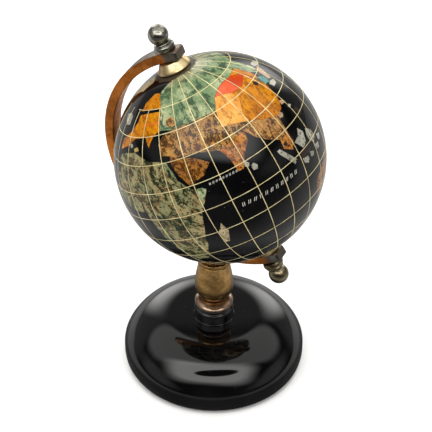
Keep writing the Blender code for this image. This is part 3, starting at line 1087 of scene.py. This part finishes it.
LANDS: dict[str, Land] = {
    "scandinavia": Land(Kind.HONEY, ((4, 59), (16, 60), (31, 60), (24, 70), (13, 70), (5, 64))),
    "europe": Land(Kind.HONEY, (
        (-11, 37), (-1, 40), (6, 44), (17, 45), (21, 39), (25, 45), (31, 47), (31, 58), (21, 58), (5, 57),
        (5, 53), (-2, 47), (-10, 43),
    )),
    "russia": Land(Kind.GREEN, (
        (31, 47), (40, 46), (56, 46), (77, 45), (83, 52), (96, 56), (112, 56), (125, 57), (127, 48),
        (132, 45), (137, 48), (139, 59), (150, 62), (170, 64), (188, 70), (182, 80), (135, 82), (90, 80),
        (60, 78), (36, 76), (24, 70), (31, 60), (31, 58),
    )),
    "mongolia": Land(Kind.CORAL, ((83, 52), (89, 51), (97, 48), (108, 47), (121, 51), (112, 56), (96, 56))),
    "west_china": Land(Kind.PEACH, (
        (74, 36), (85, 33), (91, 31), (91, 36), (96, 42), (97, 48), (89, 51), (83, 52), (77, 45),
    )),
    "china": Land(Kind.HONEY, (
        (91, 31), (98, 27), (108, 23), (114, 24), (120, 30), (124, 41), (127, 48), (125, 57), (112, 56),
        (121, 51), (108, 47), (97, 48), (96, 42), (91, 36),
    )),
    "middle_east": Land(Kind.BROWN, (
        (30, 34), (36, 33), (40, 31), (52, 30), (63, 27), (66, 26), (84, 28), (91, 31), (85, 33), (74, 36),
        (77, 45), (56, 46), (40, 46), (33, 44), (29, 40),
    )),
    "arabia": Land(Kind.RUST, ((36, 28), (39, 21), (43, 15), (53, 18), (58, 23), (51, 28), (40, 31), (36, 33))),
    "india": Land(Kind.AMBER, ((66, 26), (69, 19), (70, 12), (73, 12), (77, 18), (83, 23), (84, 28))),
    "southeast_asia": Land(Kind.FAWN, (
        (84, 28), (88, 22), (93, 17), (99, 13), (106, 13), (108, 23), (98, 27), (91, 31),
    )),
    "malaya": Land(Kind.AMBER, ((99, 13), (98, 8), (103, 4), (106, 8), (106, 13))),
    "africa": Land(Kind.SPECKLED, (
        (-9, 35), (-17, 21), (-14, 10), (-5, 5), (9, 4), (12, -16), (18, -35), (28, -34), (35, -22),
        (39, -12), (43, -1), (51, 11), (43, 13), (37, 20), (33, 30), (20, 32), (7, 37),
    )),
    "madagascar": Land(Kind.PALE, ((45, -16), (45, -24), (48, -24), (51, -16), (49, -10))),
    "australia": Land(Kind.RUST, (
        (114, -22), (115, -34), (130, -32), (138, -35), (150, -37), (153, -26), (142, -11), (129, -15),
    )),
    "canada": Land(Kind.PALE, (
        (-140, 59), (-124, 49), (-95, 49), (-83, 45), (-66, 47), (-56, 52), (-65, 60), (-85, 66), (-95, 73),
        (-125, 71), (-150, 70), (-166, 66), (-160, 58),
    )),
    "usa": Land(Kind.TEAL, (
        (-124, 49), (-124, 40), (-117, 32), (-106, 31), (-97, 26), (-90, 29), (-81, 26), (-81, 32),
        (-70, 43), (-66, 47), (-83, 45), (-95, 49),
    )),
    "mexico": Land(Kind.HONEY, (
        (-117, 32), (-106, 20), (-94, 15), (-84, 9), (-83, 15), (-90, 20), (-97, 26), (-106, 31),
    )),
    "greenland": Land(Kind.PALE, ((-58, 76), (-45, 60), (-26, 69), (-20, 76), (-40, 79))),
    "andes": Land(Kind.CORAL, (
        (-78, 8), (-81, -5), (-71, -18), (-74, -50), (-68, -53), (-62, -40), (-57, -34), (-58, -20),
        (-70, -10), (-70, 1), (-60, 5), (-72, 12),
    )),
    "brazil": Land(Kind.GREEN, (
        (-60, 5), (-70, 1), (-70, -10), (-58, -20), (-57, -34), (-48, -27), (-39, -18), (-35, -7), (-50, 1),
    )),
    "antarctica": Land(Kind.PALE, ((0, -70), (-60, -74), (-120, -74), (180, -73), (120, -68), (60, -68))),
}

ISLANDS: dict[str, Land] = {
    "north_isle": Land(Kind.SHELL, ((139, 47), (144, 45), (150, 45), (150, 47), (145, 49), (140, 49))),
    "long_isle": Land(Kind.ROSE, ((133, 45), (130, 38), (133, 37), (139, 43), (140, 46))),
    "blue_shore": Land(Kind.TEAL, ((121, 42), (123, 38), (128, 37), (130, 41), (126, 43.5), (122, 43.5))),
    "east_isle": Land(Kind.SHELL, ((125, 36.5), (126, 33.5), (131, 33.5), (133, 35.5), (129, 37))),
    "dark_bay": Land(Kind.DARK, ((115, 43), (117, 40.5), (120, 42), (118, 45)), patch=True),
    "taiwan": Land(Kind.ROSE, ((116.5, 27), (116.5, 25), (120, 24.5), (120, 26.5), (118, 27.5))),
    "hainan": Land(Kind.ROSE, ((108, 23.5), (108, 21), (110.5, 20.5), (112, 22), (111, 24))),
    "luzon": Land(Kind.DARK, ((121, 18), (121.5, 14), (124, 13), (125.5, 16), (124, 19))),
    "reef": Land(Kind.CHALK, ((119, 22), (120, 20.5), (122.5, 21), (121.5, 22.5))),
    "borneo": Land(Kind.CHALK, ((106, 6.5), (110, 0.5), (114, 1.5), (116, 7), (113.5, 11), (111, 8))),
    "celebes": Land(Kind.CHALK, ((117, 4), (117.5, 0.5), (120.5, -3), (124, -1), (123, 4), (119, 7))),
    "moluccas": Land(Kind.CHALK, ((126, -1), (126.5, -5), (129, -5.5), (131, -3))),
    "banda": Land(Kind.CHALK, ((120.5, -4), (121, -7.5), (124, -8), (125, -5))),
    "timor": Land(Kind.CHALK, ((113.5, -4), (113, -7), (116, -8), (117, -6))),
    "sunda": Land(Kind.CHALK, ((106, -3.5), (106.5, -6.5), (109.5, -8.5), (111, -7), (111, -5))),
    "java": Land(Kind.DARK, ((103, 0), (104.5, -3), (116, -4), (115.5, -1))),
    "sumatra": Land(Kind.CHALK, ((93.5, 9.5), (94, 7), (100, -3), (102.5, -1.5), (95.5, 9.5))),
    "malay_eye": Land(Kind.DARK, ((98.8, 9.8), (100, 8), (102, 8.8), (101, 11)), patch=True),
    "ceylon": Land(Kind.CHALK, ((77, 11.5), (77, 8.5), (79.5, 8), (80.5, 10), (79, 12))),
    "atoll": Land(Kind.CHALK, ((74, 15), (73.8, 12.5), (76, 11.5), (77, 13), (75.5, 15))),
    "britain": Land(Kind.CHALK, ((-18, 52), (-12, 50), (-7, 51), (-8, 55.5), (-14, 57), (-22, 55))),
    "corsica": Land(Kind.CHALK, ((0.6, 41), (2.6, 39), (5, 40), (3.5, 41.6))),
    "sicily": Land(Kind.GOLD, ((5.8, 39), (7.5, 37), (11.5, 38), (10, 40))),
    "ural_patch": Land(Kind.FAWN, ((36, 50), (40.5, 47), (45, 48), (44, 53), (38, 53)), patch=True),
    "horn": Land(Kind.GREEN, ((45, 9), (46, 6), (49, 8), (50.5, 11), (49, 12.2), (46, 12.7)), patch=True),
    "bright_west": Land(
        Kind.BRIGHT_CORAL, ((84, 52), (89, 51.2), (97, 48.2), (103.8, 47.5), (103.8, 55.8), (96, 55.8)), patch=True
    ),
}

STROKES: dict[str, StrokeRow] = {
    "strokes_sea": StrokeRow(Kind.STROKE, (64.5, -5.2), (98, -6.5), 11, 1.6, 0.25),
    "strokes_parallel": StrokeRow(Kind.STROKE, (53.5, 12.6), (69, 12.7), 9, 0.9, 0.2),
    "strokes_europe": StrokeRow(Kind.RED_STROKE, (14, 51.5), (28, 51.5), 7, 1.0, 0.25),
}


@dataclass
class Globe:
    """The black ball with its stones, wires, strokes and caps; sizes in mm, angles in degrees."""

    workshop: Workshop
    radius: float = 40.0
    sunk: float = 0.02
    stone_thick: float = 1.2
    island_rough: float = 0.3
    saw_out: float = 2.1
    saw_in: float = 0.3
    joint: float = 0.04
    map_turn: float = -24.9
    bore_r: float = 1.8
    bore_floor: float = 33.4
    cap_gap: float = 0.3
    wire_face: float = 40.02
    wire_width: float = 0.27
    wire_deep: float = 0.3
    wire_step: int = 15
    wire_end: float = 11.2
    wire_stop: float = 29.8
    stopped: tuple[float, float] = (30, 210)
    broken_parallel: int = 60
    lost_wire: tuple[float, float] = (-95, -3)
    patch_lift: float = 1.0003
    coast_step: float = 1.6
    coast_rough: float = 0.35
    coast_seed: int = 1
    stroke_deep: float = 0.3
    stroke_sunk: float = 0.125
    stroke_apart: float = 0.22

    def make(self) -> None:
        """Builds and dresses every piece that turns."""
        noise.seed_set(self.coast_seed)
        self.make_ball()
        blank = self.make_blank()
        for name, land in LANDS.items():
            self.make_stone(name, land, blank, 1.0, "stone_" + name)
        for name, land in ISLANDS.items():
            self.make_stone(name, land, blank, self.island_rough)
        discard(blank)
        self.make_wires()
        for name, row in STROKES.items():
            self.make_strokes(name, row)
        for pole in ("north", "south"):
            self.make_cap(pole)

    def let_in(self, piece: Piece, degrees: float, kind: Kind, *nodes: str) -> None:
        """Puts a piece in the axis' frame, shades it and dresses it as part of the globe.

        Args:
            piece: The piece around the origin.
            degrees: The sharpest edge that is shaded smooth, or 0 where it is shaded already.
            kind: Its finish.
            *nodes: The CAD nodes that it replaces.
        """
        settle(piece, self.workshop.axis.pole("north"))
        if degrees:
            smooth(piece, degrees)
        self.workshop.dress(piece, kind, "globe", *nodes)

    def make_ball(self) -> None:
        """Makes the polished ocean ball and bores it for the screws."""
        bpy.ops.mesh.primitive_uv_sphere_add(segments=192, ring_count=96, radius=(self.radius - self.sunk) * MM)
        ball = name_piece("ocean_ball")
        bore(ball, self.bore_r, 2 * (self.radius - self.bore_floor), self.radius)
        self.let_in(ball, 30, Kind.OCEAN, "globe_ball")

    def make_blank(self) -> Piece:
        """Makes the thin shell that the stones are cut from.

        Returns:
            The shell, around the origin.
        """
        bpy.ops.mesh.primitive_uv_sphere_add(segments=120, ring_count=60, radius=self.radius * MM)
        blank = name_piece("stone_blank")
        wall = blank.modifiers.new("Wall", "SOLIDIFY")
        wall.thickness = self.stone_thick * MM
        wall.offset = -1
        bpy.ops.object.modifier_apply(modifier=wall.name)
        return blank

    def direction(self, longitude: float, latitude: float) -> Vector:
        """The unit vector of a place on the map, in the axis' frame."""
        east, north = math.radians(longitude + self.map_turn), math.radians(latitude)
        return Vector((math.cos(north) * math.sin(east), -math.cos(north) * math.cos(east), math.sin(north)))

    def coast(self, outline: Outline, rough: float) -> list[Vector]:
        """Runs along an outline in short steps and roughens it as a hand-cut edge.

        Args:
            outline: Corners as (longitude, latitude).
            rough: How much of the full roughness it gets.

        Returns:
            Unit vectors along the edge.
        """
        corners = [self.direction(*place) for place in outline]
        edge = []
        for a, b in zip(corners, corners[1:] + corners[:1]):
            steps = max(1, round(a.angle(b) * self.radius / self.coast_step / (0.4 + 0.6 * rough)))
            for k in range(steps):
                here = a.slerp(b, k / steps)
                wander = noise.noise_vector(here * 14) * 0.7 + noise.noise_vector(here * 40) * 0.3
                edge.append((here + wander * rough * self.coast_rough / self.radius).normalized())
        return edge

    def drawn_in(self, edge: list[Vector]) -> list[Vector]:
        """Moves an edge inwards by a joint's width.

        Args:
            edge: Unit vectors, anticlockwise from outside.

        Returns:
            The moved unit vectors.
        """
        moved = []
        for before, here, after in zip(edge[-1:] + edge[:-1], edge, edge[1:] + edge[:1]):
            inward = here.cross(after - before).normalized()
            moved.append((here + inward * self.joint / self.radius).normalized())
        return moved

    def make_stone(self, name: str, land: Land, blank: Piece, rough: float, *nodes: str) -> None:
        """Cuts one stone out of the shell and lets it in.

        Args:
            name: The stone's name.
            land: Its finish and outline.
            blank: The shell it is cut from.
            rough: How rough its edge is.
            *nodes: The CAD node that it replaces, if it has one.
        """
        mesh = bpy.data.meshes.new("land_" + name)
        edge = self.drawn_in(self.coast(land.outline, rough))
        ring = [corner * self.saw_out * self.radius * MM for corner in edge]
        mesh.from_pydata(ring, [(i, (i + 1) % len(ring)) for i in range(len(ring))], [])
        stone = bpy.data.objects.new("land_" + name, mesh)
        bpy.context.scene.collection.objects.link(stone)
        with editing(stone):
            bpy.ops.mesh.edge_face_add()
            bpy.ops.mesh.extrude_region()
            bpy.ops.transform.resize(value=(self.saw_in,) * 3, center_override=(0, 0, 0))
            bpy.ops.mesh.select_all(action="SELECT")
            bpy.ops.mesh.quads_convert_to_tris(quad_method="BEAUTY", ngon_method="BEAUTY")
            turn_out()
        cut(stone, blank, "INTERSECT")
        close(stone)
        if land.patch:
            with editing(stone):
                bpy.ops.transform.resize(value=(self.patch_lift,) * 3, center_override=(0, 0, 0))
        self.polish(stone)
        self.let_in(stone, 0, land.kind, *nodes)

    @staticmethod
    def polish(stone: Piece) -> None:
        """Shades the outer face as part of the ball and leaves the cut sides flat.

        Args:
            stone: The stone around the origin.
        """
        smooth(stone)
        mesh = stone.data
        normals = []
        for polygon in mesh.polygons:
            outer = polygon.normal.dot(polygon.center.normalized()) > 0.9
            for index in polygon.loop_indices:
                corner = mesh.vertices[mesh.loops[index].vertex_index].co.normalized()
                normals.append(corner if outer else polygon.normal.copy())
        mesh.normals_split_custom_set(normals)

    def make_wires(self) -> None:
        """Lets in the meridian and parallel wires."""
        whole, short = self.bend_wire(self.wire_end), self.bend_wire(self.wire_stop)
        wires = []
        for longitude in range(0, 360, self.wire_step):
            stops = self.stopped[0] < longitude <= self.stopped[1]
            wire = copy_of(short if stops else whole, "meridian")
            settle(wire, Matrix.Rotation(math.radians(longitude + self.map_turn), 4, "Z"))
            wires.append(wire)
        discard(whole, short)
        wires += [self.hoop(latitude) for latitude in range(-75, 61, self.wire_step)]
        self.let_in(join(wires, "inlaid_wires"), 50, Kind.WIRE)

    def bend_wire(self, north_end: float) -> Piece:
        """Bends one meridian wire by spinning its flat section.

        Args:
            north_end: How far from the north pole it stops.

        Returns:
            The wire on longitude 180, around the origin.
        """
        start, end = math.radians(north_end), math.radians(self.wire_end)
        bpy.ops.mesh.primitive_plane_add(size=1, rotation=(0, math.pi / 2, 0))
        bpy.ops.object.transform_apply(location=True, rotation=True, scale=True)
        wire = name_piece("meridian_wire")
        wire.data.transform(Matrix.Diagonal((1, self.wire_width * MM, self.wire_deep * MM, 1)))
        wire.data.transform(Matrix.Translation((0, 0, (self.wire_face - self.wire_deep / 2) * MM)))
        wire.data.transform(Matrix.Rotation(math.pi / 2, 4, "Z") @ Matrix.Rotation(start, 4, "Y"))
        with editing(wire):
            bpy.ops.mesh.spin(steps=72, angle=math.pi - start - end, center=(0, 0, 0), axis=(1, 0, 0))
            turn_out()
        return wire

    def hoop(self, latitude: int) -> Piece:
        """Makes the wire of one parallel from a circle.

        Args:
            latitude: Its latitude.

        Returns:
            The wire around the origin.
        """
        outer, inner = self.wire_face, self.wire_face - self.wire_deep
        phi, half = math.radians(latitude), self.wire_width / 2 / outer
        section = [
            (reach * math.cos(phi + side), reach * math.sin(phi + side))
            for reach, side in ((outer, half), (outer, -half), (inner, -half), (inner, half))
        ]
        ring = lathe("parallel", section, 144, bored=True)
        if latitude == self.broken_parallel:
            self.break_wire(ring)
        return ring

    def break_wire(self, ring: Piece) -> None:
        """Takes out the length of wire that is lost, and closes the two ends.

        Args:
            ring: The whole wire around the origin.
        """

        def lost(face: bmesh.types.BMFace) -> bool:
            """Whether a face lies within the lost length."""
            middle = face.calc_center_median()
            east = math.degrees(math.atan2(middle.x, -middle.y)) - self.map_turn
            return self.lost_wire[0] < east < self.lost_wire[1]

        with editing(ring):
            pick(ring, "faces", lost)
            bpy.ops.mesh.delete(type="FACE")
            bpy.ops.mesh.select_all(action="SELECT")
            bpy.ops.mesh.fill_holes(sides=0)
            turn_out()

    def make_strokes(self, name: str, row: StrokeRow) -> None:
        """Lets in one row of short strokes, in slanting pairs.

        Args:
            name: The row's name.
            row: Where it runs and how large it is.
        """
        bpy.ops.mesh.primitive_cube_add(size=MM)
        bar = name_piece("stroke")
        with editing(bar):
            bpy.ops.transform.resize(value=(row.thick, row.tall, self.stroke_deep), center_override=(0, 0, 0))
            bpy.ops.mesh.bevel(offset=0.06 * MM, segments=2, affect="EDGES")
        first, last = self.direction(*row.start), self.direction(*row.end)
        up = first.cross(last).normalized()
        bars = []
        for k in range(row.count):
            out = first.slerp(last, k / (row.count - 1))
            across = up.cross(out)
            stand = Matrix((across, up, out)).transposed().to_4x4()
            lean = Matrix.Rotation(math.radians(-10 - 8 * (k % 3)), 4, "Z")
            for side in (-1, 1):
                place = out * (self.radius - self.stroke_sunk) + across * side * row.tall * self.stroke_apart
                stroke = copy_of(bar, name)
                settle(stroke, Matrix.Translation(place * MM) @ stand @ lean)
                bars.append(stroke)
        discard(bar)
        self.let_in(join(bars, name), 40, row.kind)

    def make_cap(self, pole: str) -> None:
        """Turns the brass cone washer that sits on the ball.

        Args:
            pole: "north" or "south".
        """
        seat = self.radius + self.cap_gap
        under = [(r, math.sqrt(seat**2 - r**2), 0) for r in (6.1, 5.0, 4.0, 3.0, self.bore_r)]
        cone = [(self.bore_r, 43.6, 0), (4.5, 43.6, 0.3), (4.85, 43.2, 0.3), (6.25, 40.9, 0.3), (6.5, 40.3, 0.2)]
        cap = lathe("cap_cone_" + pole, soften(cone + under), 72, bored=True)
        settle(cap, self.workshop.axis.pole(pole))
        smooth(cap)
        self.workshop.dress(cap, Kind.CAP, "globe", "cap_" + pole)


# Studio


@dataclass(frozen=True)
class SoftLight:
    """One soft patch of light in the room, by its bearing from the object.

    The bearing runs clockwise from the far side of the table, and sizes are half widths in degrees. The
    patch is an ellipse at square 2 and nears a rectangle above that.
    """

    bearing: float
    height: float
    half_width: float
    half_height: float
    strength: float
    edge: float = 0.5
    square: float = 2.0

    def add_to(self, graph: Graph, ray: Socket, so_far: object) -> Socket:
        """Adds this patch to the room's light.

        Args:
            graph: The room's graph.
            ray: The direction looked in.
            so_far: The light of the patches before it.

        Returns:
            The light with this patch.
        """
        turn, rise = math.radians(self.bearing), math.radians(self.height)
        middle = Vector((math.sin(turn) * math.cos(rise), math.cos(turn) * math.cos(rise), math.sin(rise)))
        across = Vector((math.cos(turn), -math.sin(turn), 0))
        spans = []
        for axis, half in ((across, self.half_width), (across.cross(middle), self.half_height)):
            span = graph.vector("DOT_PRODUCT", ray, tuple(axis / math.sin(math.radians(half))))
            spans.append(graph.math("POWER", graph.math("ABSOLUTE", span), self.square))
        reach = graph.math("POWER", graph.math("ADD", *spans), 1 / self.square)
        lit = graph.spread(reach, 1.0 - self.edge, 1.0 + self.edge, self.strength, 0.0)
        front = graph.math("GREATER_THAN", graph.vector("DOT_PRODUCT", ray, tuple(middle)), 0.0)
        return graph.math("ADD", so_far, graph.math("MULTIPLY", lit, front))


VIEW_BEARING = -25.5


@dataclass
class Studio:
    """Pale floor, soft light and camera; sizes in metres, the focal length in mm."""

    fill: float = 0.025
    key_height: float = 1.3
    key_size: float = 0.9
    key_power: float = 9.0
    focal_length: float = 163.108
    camera_place: Triple = (0.2516, -0.5230, 0.5541)
    camera_turn: Triple = (0.8779, -0.0041, 0.4507)
    lights: list[SoftLight] = field(
        default_factory=lambda: [
            SoftLight(VIEW_BEARING - 6, 4, 72, 41, 0.2, 0.05),
            SoftLight(VIEW_BEARING - 18, 15, 12, 16, 3.2, 0.7),
            SoftLight(VIEW_BEARING + 21, 17, 12, 16, 3.2, 0.7),
            SoftLight(VIEW_BEARING, 77, 60, 28.5, 1.0, 0.08, 2.4),
            SoftLight(VIEW_BEARING - 108, 14, 26, 9, 0.4, 0.5),
            SoftLight(VIEW_BEARING + 108, 14, 26, 9, 0.4, 0.5),
            SoftLight(VIEW_BEARING + 186, 56, 44, 20, 3.4, 0.22, 3.0),
            SoftLight(VIEW_BEARING + 175, 57, 22, 7, -3.4, 0.1),
        ]
    )

    def make(self) -> None:
        """Sets up the floor, the room and the camera."""
        self.make_floor()
        self.make_key()
        self.make_room()
        self.make_camera()

    def make_floor(self) -> None:
        """Lays the plain pale floor. Its mirror image in the foot, as in every polished piece, is painted darker,
        most of all close by and in front: painted shadow round the foot.
        """
        bpy.ops.mesh.primitive_plane_add(size=8)
        floor = name_piece("floor")
        material = bpy.data.materials.new("floor_paper")
        material.use_nodes = True
        g = Graph(material.node_tree)
        where = g.add("TexCoord").outputs["Object"]
        tone = g.blend(g.noise(where, 60.0, 3.0), (0.95, 0.95, 0.95), (0.97, 0.97, 0.97))
        # Painted shadow: in reflections only, the floor turns dark near the foot and in front of it.
        near = g.spread(g.vector("LENGTH", where), 0.045, 0.085, 0.1, 0.4)
        turn = math.radians(VIEW_BEARING)
        back = g.vector("DOT_PRODUCT", where, (math.sin(turn), math.cos(turn), 0))
        seen = g.math("MULTIPLY", near, g.spread(back, -0.2, -0.02, 0.2, 1.0))
        mirrored = g.add("LightPath").outputs["Is Glossy Ray"]
        painted_reflected_shadow = g.math("MULTIPLY", mirrored, g.math("SUBTRACT", 1.0, seen))
        shader = material.node_tree.nodes["Principled BSDF"]
        g.feed(shader, Base_Color=g.blend(painted_reflected_shadow, tone, (0, 0, 0)), Roughness=0.9, Specular_IOR_Level=0.0)
        floor.data.materials.append(material)

    def make_key(self) -> None:
        """Hangs a large soft light over the table."""
        light = bpy.data.lights.new("key", "AREA")
        light.shape = "DISK"
        light.size = self.key_size
        light.energy = self.key_power
        lamp = bpy.data.objects.new("key", light)
        lamp.location = (0.0, 0.1, self.key_height)
        lamp.visible_glossy = False
        bpy.context.scene.collection.objects.link(lamp)

    def make_room(self) -> None:
        """Lights the room with soft patches, behind a plain backdrop."""
        world = bpy.data.worlds.new("room")
        world.use_nodes = True
        g = Graph(world.node_tree)
        backdrop = g.feed(world.node_tree.nodes["Background"], Color=(0.93, 0.93, 0.93))
        ray = g.add("TexCoord").outputs["Generated"]
        total: object = self.fill
        for light in self.lights:
            total = light.add_to(g, ray, total)
        room = g.feed(g.add("Background"), Color=(1.0, 0.99, 0.97), Strength=g.math("MAXIMUM", total, 0.0))
        camera_ray = g.add("LightPath").outputs["Is Camera Ray"]
        seen = g.feed(g.add("MixShader"), camera_ray, room.outputs[0], backdrop.outputs[0])
        g.feed(world.node_tree.nodes["World Output"], Surface=seen.outputs[0])
        bpy.context.scene.world = world

    def make_camera(self) -> None:
        """Places the camera."""
        lens = bpy.data.cameras.new("camera")
        lens.lens = self.focal_length
        lens.sensor_width = 36
        camera = bpy.data.objects.new("camera", lens)
        camera.location = self.camera_place
        camera.rotation_euler = self.camera_turn
        bpy.context.scene.collection.objects.link(camera)
        bpy.context.scene.camera = camera
        bpy.context.scene.view_settings.view_transform = "Standard"


def find_axis() -> AxisFrame:
    """Reads the globe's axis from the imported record.

    Returns:
        The frame of the axis.
    """
    hinge = next(joint for joint in frame["joints"] if joint["name"] == "globe_spin")
    axis = Vector(hinge["axis"])
    return AxisFrame(Vector(hinge["pos_m"]), math.atan2(-axis.x, axis.z))


def main() -> None:
    """Builds the stand, the globe and the studio."""
    logging.basicConfig(level=logging.INFO, format="%(name)s %(message)s")
    workshop = Workshop(find_axis())
    Stand(workshop).make()
    Globe(workshop).make()
    Studio().make()


if __name__ == "__main__":
    main()
